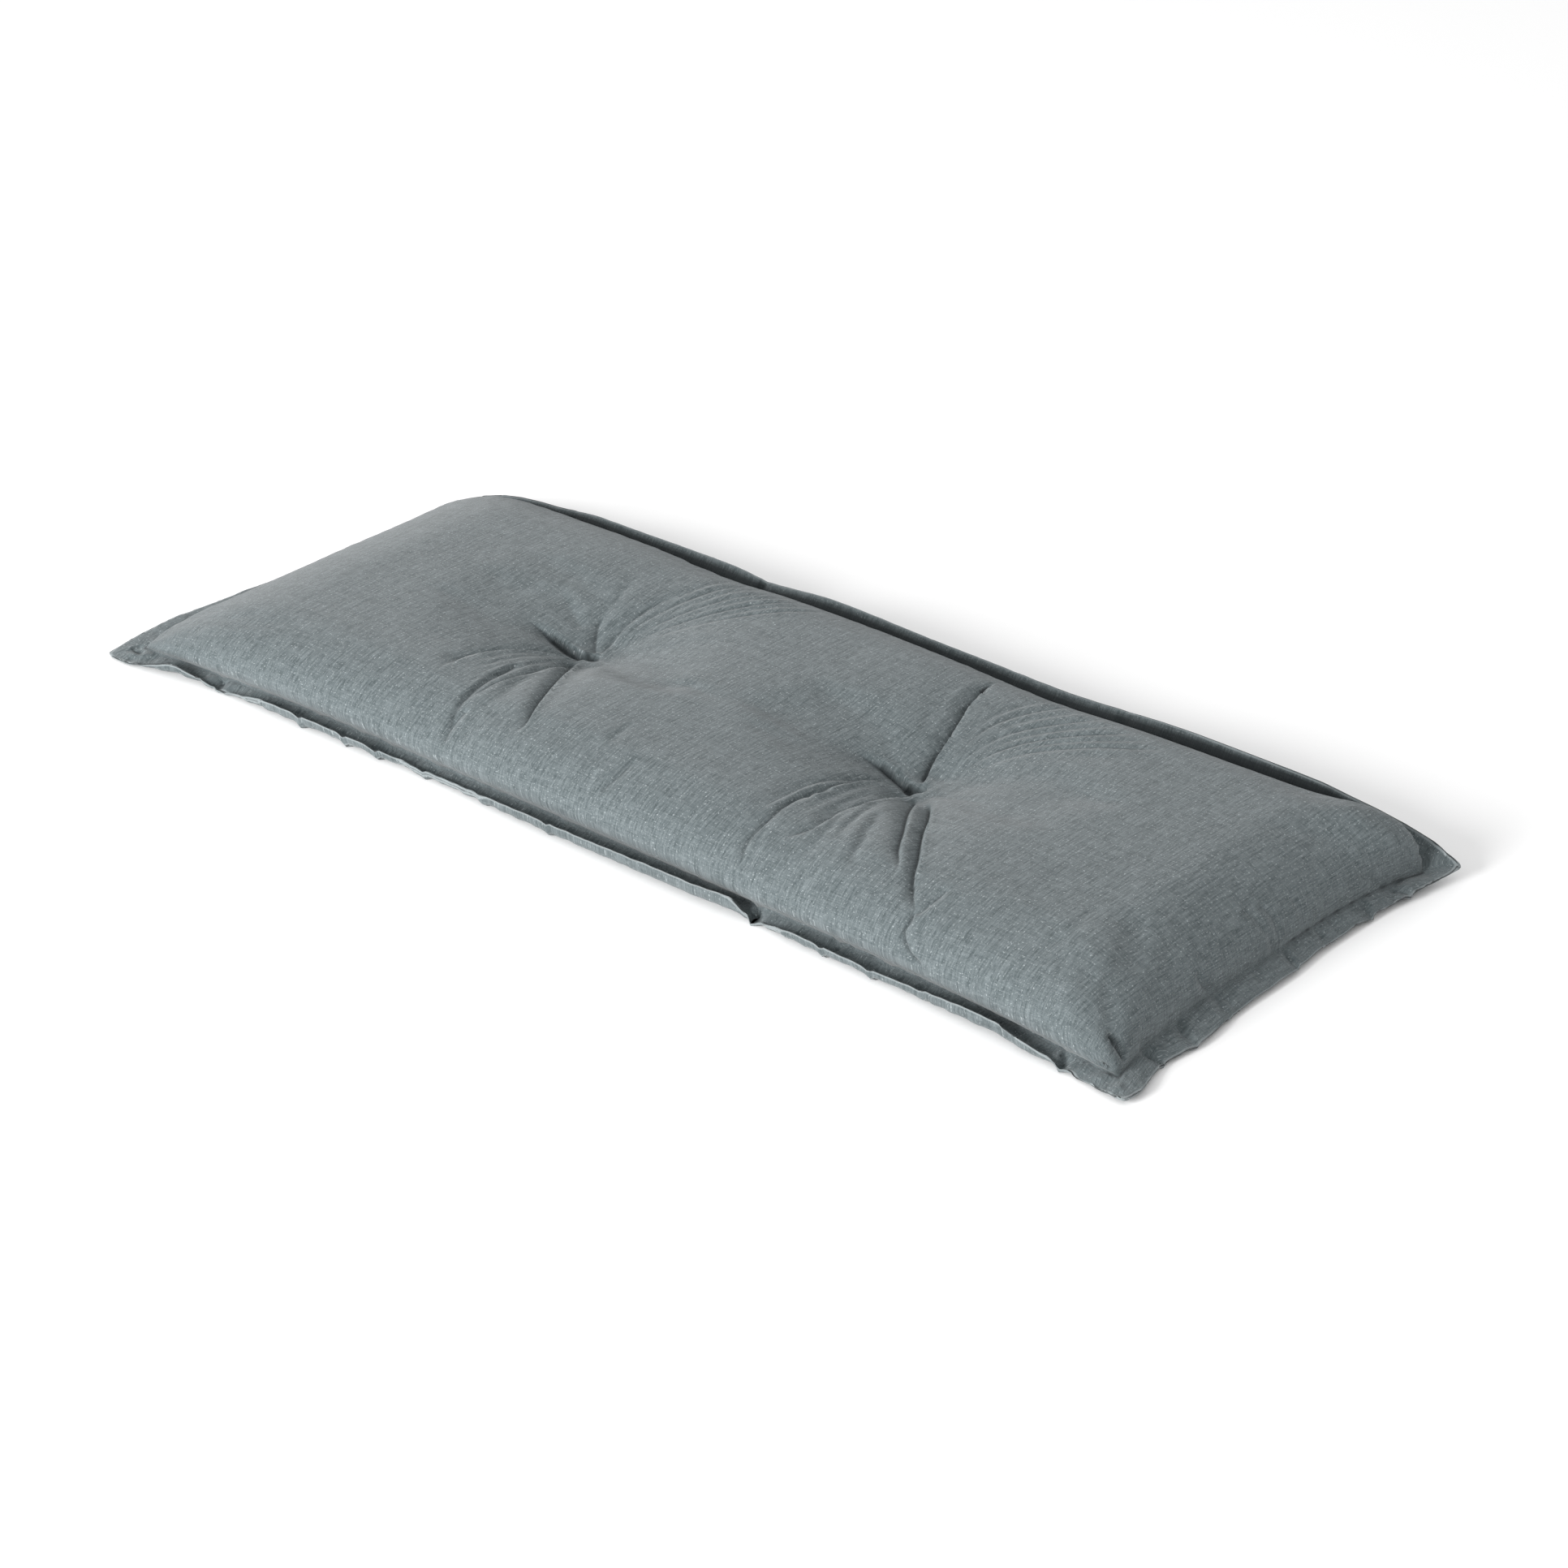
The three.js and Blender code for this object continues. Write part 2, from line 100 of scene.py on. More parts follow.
# Creases pressed into the cloth. path: places on the cloth, in mm. deep: depth of the trough, or
# height of a ridge where it is below 0. left, right: width on its left and on its right as the
# path runs. lip: ridge beside it, on its right where it is above 0 and on its left where it is
# below. rise, fade: share of its length over which it comes up and over which it runs out.
CREASES = [
    dict(path=[(-196, -4, 42), (-217, -4, 47), (-236, -4, 53), (-255, -5, 60), (-268, -8, 64)],
         deep=9, left=8, right=1.8, lip=1.6),
    dict(path=[(-196, -15, 44), (-211, -23, 48), (-219, -33, 54), (-232, -57, 61),
               (-241, -82, 66), (-247, -109, 69), (-248, -149, 69)],
         deep=4.0, left=2.0, right=6, lip=-1.0, fade=0.25),
    dict(path=[(-207, -83, 64), (-199, -141, 68), (-191, -179, 61), (-180, -203, 50)],
         deep=3.0, left=3.4, right=2.0, lip=0.8, fade=0.2),
    dict(path=[(-196, -16, 44), (-192, -41, 52), (-189, -67, 59), (-189, -101, 65),
               (-191, -127, 67), (-191, -154, 67), (-197, -178, 61)],
         deep=3.4, left=2.0, right=6, lip=-1.0, fade=0.25),
    dict(path=[(-196, -20, 45), (-162, -79, 62), (-136, -128, 69), (-118, -165, 68),
               (-115, -186, 62)],
         deep=5.5, left=1.4, right=5, lip=-1.4, fade=0.2),
    dict(path=[(-194, -64, 59), (-178, -114, 66), (-169, -149, 68), (-173, -181, 61)],
         deep=1.3, left=6, right=4, lip=0.5),
    dict(path=[(-182, -175, 63), (-182, -195, 55), (-180, -207, 47), (-174, -213, 39)],
         deep=3.0, left=3.4, right=3.0, lip=0.9, fade=0.3),
    dict(path=[(-198, 7, 44), (-212, 24, 50), (-221, 36, 55), (-228, 50, 60)],
         deep=3.5, left=5, right=4, lip=0.8),
    dict(path=[(-218, 32, 54), (-226, 51, 60), (-235, 87, 67), (-244, 119, 69)],
         deep=1.5, left=7, right=5, lip=0.6),
    dict(path=[(-227, 23, 56), (-244, 30, 61), (-265, 41, 66), (-293, 58, 70)],
         deep=1.5, left=7, right=5, lip=0.6),
    dict(path=[(-193, 6, 43), (-195, 21, 45), (-198, 48, 56), (-197, 80, 63), (-193, 123, 67)],
         deep=2.6, left=5, right=2, lip=0.8),
    dict(path=[(-34, -113, 75), (-32, -137, 75), (-27, -161, 72)],
         deep=1.8, left=5, right=2.4, lip=0.6, rise=0.4, fade=0.3),
    dict(path=[(9, -157, 73), (8, -182, 65), (5, -197, 58), (5, -205, 52)],
         deep=3.0, left=4, right=2.4, lip=0.9, rise=0.3, fade=0.2),
    dict(path=[(200, -4, 45), (177, 2, 45), (156, 4, 51), (141, 1, 56), (126, -4, 62)],
         deep=9, left=8, right=1.8, lip=1.6),
    dict(path=[(196, -10, 45), (175, -9, 46), (166, -24, 54), (162, -50, 61), (160, -89, 67),
               (159, -120, 69), (157, -145, 70)],
         deep=4.0, left=2.0, right=6, lip=-1.0, fade=0.25),
    dict(path=[(179, -4, 46), (159, -40, 59), (148, -86, 68), (147, -129, 70), (147, -165, 67)],
         deep=2.4, left=2.4, right=6, lip=-0.8, fade=0.3),
    dict(path=[(166, -80, 65), (158, -120, 69), (161, -158, 68), (162, -184, 61),
               (166, -198, 54), (173, -208, 46)],
         deep=3.6, left=2.0, right=4.5, lip=-1.0, fade=0.2),
    dict(path=[(204, -12, 45), (192, -23, 45), (199, -57, 58), (198, -82, 63), (197, -109, 67),
               (201, -144, 69), (193, -165, 66), (187, -176, 63)],
         deep=4.5, left=1.6, right=6, lip=-1.2, fade=0.2),
    dict(path=[(203, -15, 44), (235, -64, 61), (260, -100, 69), (281, -132, 73), (298, -153, 72),
               (308, -175, 68)],
         deep=4.6, left=1.6, right=5, lip=-1.2, fade=0.3),
    dict(path=[(229, -29, 54), (256, -63, 64), (276, -95, 69), (303, -133, 72), (318, -157, 71),
               (331, -174, 67), (345, -189, 62), (348, -199, 57)],
         deep=5.8, left=1.4, right=5, lip=-1.4, fade=0.2),
    dict(path=[(345, -189, 62), (348, -199, 57), (348, -207, 51), (357, -215, 44),
               (363, -217, 39), (379, -219, 34)],
         deep=3.6, left=1.6, right=4, lip=-0.9, fade=0.2),
    dict(path=[(348, -193, 60), (352, -182, 65), (355, -163, 72), (357, -148, 74)],
         deep=2.6, left=4.5, right=3.5, lip=0.8),
    dict(path=[(191, 7, 43), (180, 34, 48), (174, 60, 57), (165, 90, 63), (156, 114, 66),
               (150, 143, 69), (148, 165, 68), (154, 170, 67)],
         deep=6.5, left=3.4, right=1.4, lip=1.5, fade=0.2),
    dict(path=[(170, 32, 50), (160, 58, 58), (151, 87, 64), (142, 111, 67), (136, 141, 69),
               (134, 164, 68)],
         deep=-2.0, left=7, right=5, lip=0, rise=0.2, fade=0.25),
    dict(path=[(221, -85, 66), (244, -130, 71), (257, -160, 70), (268, -176, 66),
               (275, -192, 60)],
         deep=1.5, left=5, right=4, lip=0.5),
    dict(path=[(231, -113, 69), (250, -149, 71), (261, -178, 65), (263, -192, 59)],
         deep=1.2, left=5, right=4, lip=0.5),
    dict(path=[(211, -127, 69), (216, -162, 67), (218, -193, 56)],
         deep=1.2, left=6, right=4, lip=0.5),
    dict(path=[(208, -5, 46), (239, -10, 60), (264, -12, 67), (289, -19, 71)],
         deep=1.5, left=5, right=7, lip=0.3),
    dict(path=[(467, -107, 76), (472, -137, 75), (472, -163, 73), (470, -186, 67)],
         deep=1.1, left=5, right=4, lip=0.5),
    dict(path=[(180, -208, 46), (172, -187, 59), (160, -149, 69)],
         deep=1.1, left=5, right=4, lip=0.4),
    dict(path=[(544, 13, 57), (555, 20, 42), (560, 19, 25), (560, 9, 19)],
         deep=2.0, left=5, right=4, lip=0.7),
    dict(path=[(542, -6, 59), (552, 2, 47), (560, 6, 28)],
         deep=1.6, left=5, right=4, lip=0.5),
    dict(path=[(552, 50, 47), (559, 56, 30), (560, 52, 19)],
         deep=1.4, left=5, right=4, lip=0.4),
    dict(path=[(556, -88, 40), (560, -83, 26), (562, -67, 13)],
         deep=2.6, left=4, right=5, lip=0.8),
    dict(path=[(562, -70, 12), (572, -63, 9), (583, -71, 5)],
         deep=2.0, left=3, right=5, lip=0.7, rise=0.3),
    dict(path=[(560, 77, 15), (571, 68, 9), (579, 63, 5)],
         deep=2.0, left=3, right=5, lip=0.7, rise=0.3),
    dict(path=[(558, 9, 36), (560, 14, 18), (568, 28, 11)],
         deep=2.0, left=4, right=4, lip=0.7),
    dict(path=[(560, 136, 35), (565, 163, 17), (582, 164, 8)],
         deep=2.0, left=4, right=5, lip=0.7),
    dict(path=[(555, -206, 41), (561, -206, 35), (567, -205, 27), (572, -203, 16)],
         deep=5.0, left=4, right=2.6, lip=2.6, rise=0.2, fade=0.2),
    dict(path=[(556, -220, 16), (564, -220, 16), (567, -217, 10)],
         deep=5.5, left=3.4, right=3.4, lip=0.8, rise=0.2, fade=0.3),
    dict(path=[(567, -176, 22), (575, -171, 9), (584, -172, 6)],
         deep=2.0, left=6, right=4, lip=0.6),
    dict(path=[(567, 229, 28), (566, 222, 21), (569, 209, 18)],
         deep=2.2, left=4, right=6, lip=0.8),
    dict(path=[(582, 160, 8), (572, 173, 11), (569, 188, 12), (571, 200, 15)],
         deep=2.6, left=5, right=5, lip=0.8),
    dict(path=[(-585, -221, 8), (-575, -222, 7), (-566, -221, 8)],
         deep=3.2, left=3, right=4, lip=1.0),
    dict(path=[(-583, -214, 8), (-576, -219, 8), (-568, -221, 8)],
         deep=2.2, left=3, right=3, lip=0.8),
    dict(path=[(-575, -236, 4), (-568, -231, 6), (-563, -224, 8)],
         deep=1.8, left=4, right=3, lip=0.5),
    dict(path=[(-472, -226, 4), (-472, -212, 7), (-465, -206, 9)],
         deep=2.6, left=3, right=6, lip=0.8),
    dict(path=[(-492, -229, 9), (-489, -216, 8), (-484, -207, 9)],
         deep=1.6, left=6, right=3, lip=0.5),
]

# Points of a crease's line from one place to the next, and the rise and fade of a crease that
# gives none
STEPS_TO_NEXT_PLACE = 6
FADE_IN = 0.08
FADE_OUT = 0.45

# Section of a crease: where it ends, in widths of its wider flank, the power that sharpens its
# trough, and the place and width of the lip, in widths of its narrower flank
CREASE_ENDS = 3
CREASE_POWER = 1.4
LIP_AT = 2.1
LIP_WIDE = 1.4

# Depth at which a crease is a tight fold, and the reach of the painted shade along that fold's
# line on the slow and on the steep flank, in mm
TIGHT_FOLD = 4.5
SLOW_FOLD = 4.5
STEEP_FOLD = 1.2

# Fans of fine ripples that curve away from the tufts, towards the back and towards the front.
# first, last: where the outermost two ripples of the fan start, bend and end, in mm. FAN_UNEVEN
# is the strength of each ripple, and a weaker one also starts further out.
FANS = [
    dict(first=[(-195, 30, 50), (-190, 104, 66), (-172, 186, 63)],
         last=[(-172, 27, 50), (-121, 95, 70), (-52, 178, 70)],
         count=8, deep=2.6, left=5.5, right=3.0, lip=0.8, rise=0.35, fade=0.2),
    dict(first=[(190, 32, 50), (187, 112, 68), (213, 188, 62)],
         last=[(216, 24, 50), (256, 84, 69), (352, 152, 73)],
         count=8, deep=2.6, left=5.5, right=3.0, lip=0.8, rise=0.35, fade=0.2),
    dict(first=[(-213, -29, 51), (-226, -70, 63), (-235, -125, 69)],
         last=[(-202, -28, 48), (-202, -86, 64), (-208, -148, 68)],
         count=4, deep=1.8, left=5.0, right=3.0, lip=0.6, rise=0.2, fade=0.35),
    dict(first=[(173, -30, 53), (173, -76, 63), (175, -137, 69)],
         last=[(203, -56, 58), (213, -100, 67), (228, -158, 68)],
         count=4, deep=1.8, left=5.0, right=3.0, lip=0.6, rise=0.2, fade=0.35),
]
FAN_UNEVEN = [0.7, 1.0, 0.55, 0.95, 0.7, 1.05, 0.6, 0.9]
FAN_START_SHIFT = 0.35

# Tufts: the cloth's last dip round the thread, in mm
PIT_DEEP = 11
PIT_WIDE = 5.5

# Tucks in the flange. at: place along the side. deep: how far the rim dips. steep, slow: run of
# the fold's short and long flank. turn: 1 where the long flank runs towards +X or +Y, else -1.
TUCKS = {
    "front": [
        dict(at=-468, deep=3.8, steep=4, slow=16, turn=1),
        dict(at=-350, deep=3.8, steep=3, slow=13, turn=-1),
        dict(at=-293, deep=4.5, steep=3, slow=14, turn=-1),
        dict(at=-252, deep=5.2, steep=3, slow=16, turn=-1),
        dict(at=-195, deep=2.8, steep=4, slow=18, turn=-1),
        dict(at=-120, deep=1.9, steep=5, slow=14, turn=-1),
        dict(at=-38, deep=4.0, steep=3, slow=13, turn=-1),
        dict(at=188, deep=7.5, steep=4, slow=10, turn=1),
        dict(at=276, deep=4.8, steep=3, slow=12, turn=-1),
        dict(at=329, deep=4.8, steep=3, slow=12, turn=-1),
        dict(at=385, deep=3.1, steep=3, slow=12, turn=-1),
        dict(at=523, deep=4.5, steep=4, slow=10, turn=1),
    ],
    "right": [
        dict(at=-172, deep=3.4, steep=5, slow=12, turn=1),
        dict(at=-124, deep=4.6, steep=4, slow=14, turn=-1),
        dict(at=-72, deep=2.2, steep=5, slow=12, turn=-1),
        dict(at=25, deep=4.2, steep=4, slow=14, turn=-1),
        dict(at=134, deep=4.4, steep=4, slow=14, turn=-1),
        dict(at=176, deep=3.0, steep=5, slow=11, turn=1),
    ],
    "back": [
        dict(at=-430, deep=1.6, steep=6, slow=20, turn=1),
        dict(at=-184, deep=4.5, steep=4, slow=16, turn=1),
        dict(at=30, deep=1.5, steep=6, slow=20, turn=-1),
        dict(at=250, deep=1.5, steep=6, slow=22, turn=1),
        dict(at=470, deep=1.6, steep=5, slow=18, turn=1),
    ],
    "left": [
        dict(at=-150, deep=1.8, steep=6, slow=14, turn=1),
        dict(at=-40, deep=1.5, steep=6, slow=16, turn=-1),
        dict(at=90, deep=1.5, steep=6, slow=16, turn=1),
    ],
}

# Flange, in mm: where its folds begin and run out, how far a tuck slants on its way out, the
# power that sharpens it, and the share of its depth that it adds at the rim
FLANGE_BEGINS = 4
FLANGE_REACH = 22
TUCK_SLANT = 9
TUCK_POWER = 1.3
TUCK_AT_RIM = 0.5

# Small pleats along the front, puckers of the whole flange, and gathers of the filled part beside
# the stitched line: height, length of a wave, slant and reach, in mm, and the seeds of the waves
PLEAT_HEIGHT = 2.4
PLEAT_LENGTH = 25
PLEAT_SLANT = 14
PLEAT_LONG_FLANK = 0.78
PLEAT_UNEVEN = 0.8
PLEAT_SEED = 5.3
PUCKER_HEIGHT = 1.7
PUCKER_LENGTH = 13
PUCKER_LESS_AT_RIM = 0.55
PUCKER_SEED = 3.1
GATHER_HEIGHT = 1.0
GATHER_LENGTH = 9
GATHER_REACH = 30
GATHER_SEED = 7.7

# The two layers of the flange: how much an upright layer is told by facing inwards, how squarely
# a point has to face to tell its own layer, and how many neighbours tell the others
FACING_INWARDS = 0.9
SURE_FACING = 0.4
LAYER_NEIGHBOURS = 12

# Rim: its sharpness in degrees, how far outside the stitched line its sharp edges start, the
# stretch of them that gives its middle line, and how much the flange thins towards it, in mm
RIM_SHARP = 65
RIM_OUTSIDE_SEAM = 12
RIM_REACH = 9
RIM_THINNER = 0.8
THINNED_REACH = 9

# Groove of the stitched line, and the height above and below it that is fully deep, in mm
GROOVE_DEEP = 0.9
GROOVE_WIDE = 2.2
GROOVE_BAND = 2

# Corners that the filling pushes out further. at: place in plan. out: how far. wide: how wide.
# from_seam: how far outside the stitched line it ends, over the last CORNER_ENDS_OVER, all in mm.
FULL_CORNERS = [
    dict(at=(552, 204), out=13, wide=46, from_seam=3),
]
CORNER_ENDS_OVER = 14

# Where the cloth looks for other cloth that hides it: how far off, in how many directions, how
# near the stitched line and the tufts, in mm, how often the result is evened out, and how much
# the neighbours count each time
HIDDEN_BY = 40
HIDDEN_RAYS = 16
HIDDEN_BESIDE_SEAM = 60
HIDDEN_ROUND_TUFT = 50
HIDDEN_OFF_FLOOR = 2
HIDDEN_EVENED = 3
EVENED_SHARE = 0.6

# How much painted shade darkens hidden cloth on each side, at the rim and round the tufts, and the
# share of it that a full corner takes away, over a spot this many times as wide as the corner
HIDDEN_DARKENS = {"front": 0.38, "right": 0.2, "back": 2.5, "left": 0.9}
HIDDEN_AT_RIM = 0.55
HIDDEN_RIM_REACH = 12
HIDDEN_DARKENS_TUFT = 1.2
FULL_CORNER_CLEARS = 0.85
FULL_CORNER_WIDER = 1.4

# Looking through the cloth starts this far inside it, and looking away from it this far off, in mm
LOOK_FROM_INSIDE = 0.3
LOOK_FROM_OUTSIDE = 0.6

# Upward part of the normal above which cloth is creased, made finer and darkened by painted
# shade, and below which the filling doesn't tighten it or its mesh stays coarse
CREASED_ABOVE = -0.3
FINE_ABOVE = -0.4
FINE_SEAM_ABOVE = -0.2
DARKENED_ABOVE = -0.6
HELD_BELOW = -0.25
COARSE_BELOW = -0.5

# Slow unevenness of the filling, and the height of the top's edge, in mm
LUMP_HEIGHT = 0.3
LUMP_LENGTH = 85
EDGE_OF_TOP = 62

# Cloth colours, linear. The fleck colour also paints a highlight on the rolled rim's edge, and
# SHADE is the colour of painted shade.
YARN_DARK = (0.053, 0.068, 0.072, 1)
YARN_LIGHT = (0.141, 0.165, 0.172, 1)
FLECK_AND_HIGHLIGHT = (0.42, 0.46, 0.47, 1)
SHADE = (0.02, 0.025, 0.027, 1)

# Patterns of the yarns, from fine to slow. waves: how many fit in a metre along X and along Y.
# adds: what the pattern adds to the lightness of the yarn at its low and at its high end.
PATTERN_ENDS = (0.3, 0.7)
PATTERNS = [
    dict(name="warp", waves=(560, 60), detail=3, roughness=0.7, adds=(-0.15, 0.75)),
    dict(name="weft", waves=(55, 520), detail=3, roughness=0.7, adds=(-0.1, 0.45)),
    dict(name="ribs", waves=(300, 13), detail=2, roughness=0.55, adds=(-0.16, 0.16)),
    dict(name="slubs", waves=(110, 7), detail=2, roughness=0.5, adds=(-0.05, 0.05)),
    dict(name="bands", waves=(9, 130), detail=2, roughness=0.5, adds=(-0.09, 0.09)),
    dict(name="patches", waves=(9, 9), detail=2, roughness=0.5, adds=(-0.03, 0.03)),
]
FLECKS = dict(name="flecks", waves=(560, 400), detail=2, roughness=0.6)
FLECK_ENDS = (0.6, 0.72)
MOST_FLECK = 0.6

# Tints by the marks on the cover, all painted light and shade: a painted highlight on the rolled
# rim's edge, and painted shade in the rim's joint, in the stitched line, along tight folds and on
# cloth that other cloth hides. ends: the mark's values, in mm for those that say from, between
# which the tint's share goes from the first to the second of shares.
TINTS = [
    # painted highlight on the rolled rim's edge
    dict(name="rolled_rim_highlight", mark="from_rim", ends=(2.0, 2.8), shares=(0.35, 0), colour=FLECK_AND_HIGHLIGHT),
    # painted shade in the joint where the flange's two layers meet at the rim
    dict(name="rim_joint_shade", mark="from_rim", ends=(0.8, 1.2), shares=(0.9, 0), colour=SHADE),
    # painted shade in the stitched line's groove
    dict(name="stitched_line_shade", mark="from_seam", ends=(0.5, 1.5), shares=(0.75, 0), colour=SHADE),
    # painted shade along tight folds of the creases
    dict(name="tight_fold_shade", mark="fold", ends=(0.25, 0.9), shares=(0, 0.75), colour=SHADE),
    # painted shade on cloth that other cloth hides, strongest along the back flange
    dict(name="hidden_cloth_shade", mark="hidden", ends=(0.36, 0.8), shares=(0, 0.95), colour=SHADE),
]

# Studio
FLOOR_SIZE = 14
FLOOR_WHITE = (0.93, 0.93, 0.93, 1)
WORLD_LIGHT = 0.85
KEY_LAMP = dict(place=(-1.3, -6.4, 2.15), size=3.4, power=730)


def photo_camera():
    turn = math.radians(AZIMUTH)
    rise = math.radians(ELEVATION)
    back = Vector((math.sin(turn) * math.cos(rise), -math.cos(turn) * math.cos(rise),
                   math.sin(rise)))
    bpy.ops.object.camera_add(location=Vector(LOOK_AT) + back * DISTANCE)
    camera = bpy.context.active_object
    camera.name = "photo_camera"
    camera.rotation_euler = (-back).to_track_quat("-Z", "Y").to_euler()
    camera.data.sensor_width = SENSOR
    camera.data.lens = FOCAL_PIXELS / PHOTO_WIDTH * SENSOR
    camera.data.clip_end = 50
    bpy.context.scene.camera = camera


# Points of a piece

def select_only(piece):
    bpy.ops.object.select_all(action="DESELECT")
    piece.select_set(True)
    bpy.context.view_layer.objects.active = piece


def read_points(piece, what):
    flat = np.zeros(len(piece.data.vertices) * 3)
    piece.data.vertices.foreach_get(what, flat)
    return flat.reshape(-1, 3)


def places_of(piece):
    return read_points(piece, "co")


def normals_of(piece):
    return read_points(piece, "normal")


def put_places(piece, places):
    piece.data.vertices.foreach_set("co", places.ravel())
    piece.data.update()


def edge_ends(piece):
    """The numbers of the two points of each edge."""
    flat = np.zeros(len(piece.data.edges) * 2, int)
    piece.data.edges.foreach_get("vertices", flat)
    return flat.reshape(-1, 2)


def mark(cover, name, values):
    attribute = cover.data.attributes.new(name, "FLOAT", "POINT")
    attribute.data.foreach_set("value", np.asarray(values, float))


def marked(cover, name):
    values = np.zeros(len(cover.data.vertices))
    cover.data.attributes[name].data.foreach_get("value", values)
    return values


def surface_of(piece):
    return BVHTree.FromPolygons([v.co.copy() for v in piece.data.vertices],
                                [tuple(p.vertices) for p in piece.data.polygons])


def tree_of(places, numbers):
    """A tree that finds the nearest of the numbered places."""
    tree = KDTree(len(numbers))
    for n in numbers:
        tree.insert(places[n], int(n))
    tree.balance()
    return tree


# Where a point lies on the cushion

def eased(share):
    share = np.clip(share, 0, 1)
    return share * share * (3 - 2 * share)


def away_from_corner(along, half):
    return 1 - np.minimum(np.abs(along) / half, 1) ** 4


def by_side(values, side):
    """The value that each point's side has in a table by name."""
    return np.array([values[name] for name in SIDES])[side]


def on_long_side(side):
    return (side == SIDES.index("front")) | (side == SIDES.index("back"))


def outside_seam(places):
    """Distance in plan outside the stitched line, in mm, and the number of the side it lies on."""
    x = places[:, 0] / MM
    y = places[:, 1] / MM
    gaps = np.stack([
        -y - (HALF_Y - INSET["front"] * away_from_corner(x, HALF_X)),
        x - (HALF_X - INSET["right"] * away_from_corner(y, HALF_Y)),
        y - (HALF_Y - INSET["back"] * away_from_corner(x, HALF_X)),
        -x - (HALF_X - INSET["left"] * away_from_corner(y, HALF_Y)),
    ])
    return gaps.max(axis=0), gaps.argmax(axis=0)


def seam_up(places):
    """Height of the stitched line nearest to each point, in mm."""
    side = outside_seam(places)[1]
    fade = np.where(on_long_side(side), away_from_corner(places[:, 0] / MM, HALF_X),
                    away_from_corner(places[:, 1] / MM, HALF_Y))
    return CORNER_SEAM_UP + (by_side(SEAM_UP, side) - CORNER_SEAM_UP) * fade


def in_plan_from(places, spot):
    """Distance in plan, in metres, from a spot that is given in mm."""
    x, y = spot
    return np.hypot(places[:, 0] - x * MM, places[:, 1] - y * MM)


def round_tufts(places, reach):
    """True within the given distance of a tuft, in mm."""
    return np.any([in_plan_from(places, tuft) < reach * MM for tuft in TUFTS], axis=0)


# Mesh of the cover

def copy_of_the_solid():
    cover = bpy.data.objects.new("padded_cover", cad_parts["cushion"].data.copy())
    bpy.context.scene.collection.objects.link(cover)
    select_only(cover)
    bpy.ops.object.mode_set(mode="EDIT")
    bpy.ops.mesh.select_all(action="SELECT")
    bpy.ops.mesh.remove_doubles(threshold=0.01 * MM)
    bpy.ops.mesh.customdata_custom_splitnormals_clear()
    bpy.ops.mesh.tris_convert_to_quads(face_threshold=math.radians(50),
                                       shape_threshold=math.radians(75))
    bpy.ops.mesh.mark_sharp(clear=True)
    bpy.ops.object.mode_set(mode="OBJECT")
    bpy.ops.object.shade_smooth()
    return cover


def thin_places(cover):
    """True where the cloth is only the flange's two layers, seen by looking through it, and one
    point further."""
    surface = surface_of(cover)
    thin = np.zeros(len(cover.data.vertices), bool)
    for vertex in cover.data.vertices:
        start = vertex.co - vertex.normal * LOOK_FROM_INSIDE * MM
        through = surface.ray_cast(start, -vertex.normal, THIN_CLOTH * MM)
        thin[vertex.index] = through[0] is not None
    ends = edge_ends(cover)
    grown = thin.copy()
    grown[ends[thin[ends[:, 0]], 1]] = True
    grown[ends[thin[ends[:, 1]], 0]] = True
    return grown


def rim_places(cover, gap):
    """True on the rim, where the flange's two layers meet: sharp edges well outside the seam."""
    select_only(cover)
    bpy.ops.object.mode_set(mode="EDIT")
    bpy.ops.mesh.select_mode(type="EDGE")
    bpy.ops.mesh.select_all(action="DESELECT")
    bpy.ops.mesh.edges_select_sharp(sharpness=math.radians(RIM_SHARP))
    bpy.ops.mesh.select_mode(type="VERT")
    bpy.ops.object.mode_set(mode="OBJECT")
    chosen = np.zeros(len(cover.data.vertices), bool)
    cover.data.vertices.foreach_get("select", chosen)
    return chosen & (gap > RIM_OUTSIDE_SEAM)


def cut_long_edges(cover, wanted, longest):
    """Cuts in two the edges longer than `longest` mm whose two ends are wanted."""
    places = places_of(cover)
    ends = edge_ends(cover)
    length = np.linalg.norm(places[ends[:, 0]] - places[ends[:, 1]], axis=1)
    chosen = (length > longest * MM) & wanted[ends[:, 0]] & wanted[ends[:, 1]]
    select_only(cover)
    bpy.ops.object.mode_set(mode="EDIT")
    bpy.ops.mesh.select_mode(type="EDGE")
    bpy.ops.mesh.select_all(action="DESELECT")
    bpy.ops.object.mode_set(mode="OBJECT")
    cover.data.edges.foreach_set("select", chosen)
    bpy.ops.object.mode_set(mode="EDIT")
    bpy.ops.mesh.subdivide(number_cuts=1, quadcorner="INNERVERT")
    bpy.ops.mesh.select_mode(type="VERT")
    bpy.ops.object.mode_set(mode="OBJECT")


def near_creases(cover, paths, round_crease, round_tuft):
    """True within the given distances, in mm, of a crease or tuft, on the upper cloth."""
    places = places_of(cover)
    near = round_tufts(places, round_tuft)
    for path in paths:
        low = path.min(axis=0) - round_crease * MM
        high = path.max(axis=0) + round_crease * MM
        inside = np.where(((places > low) & (places < high)).all(axis=1))[0]
        if len(inside):
            gap = distance_to(places[inside], path)[0]
            near[inside[gap < round_crease * MM]] = True
    return near & (normals_of(cover)[:, 2] > FINE_ABOVE)


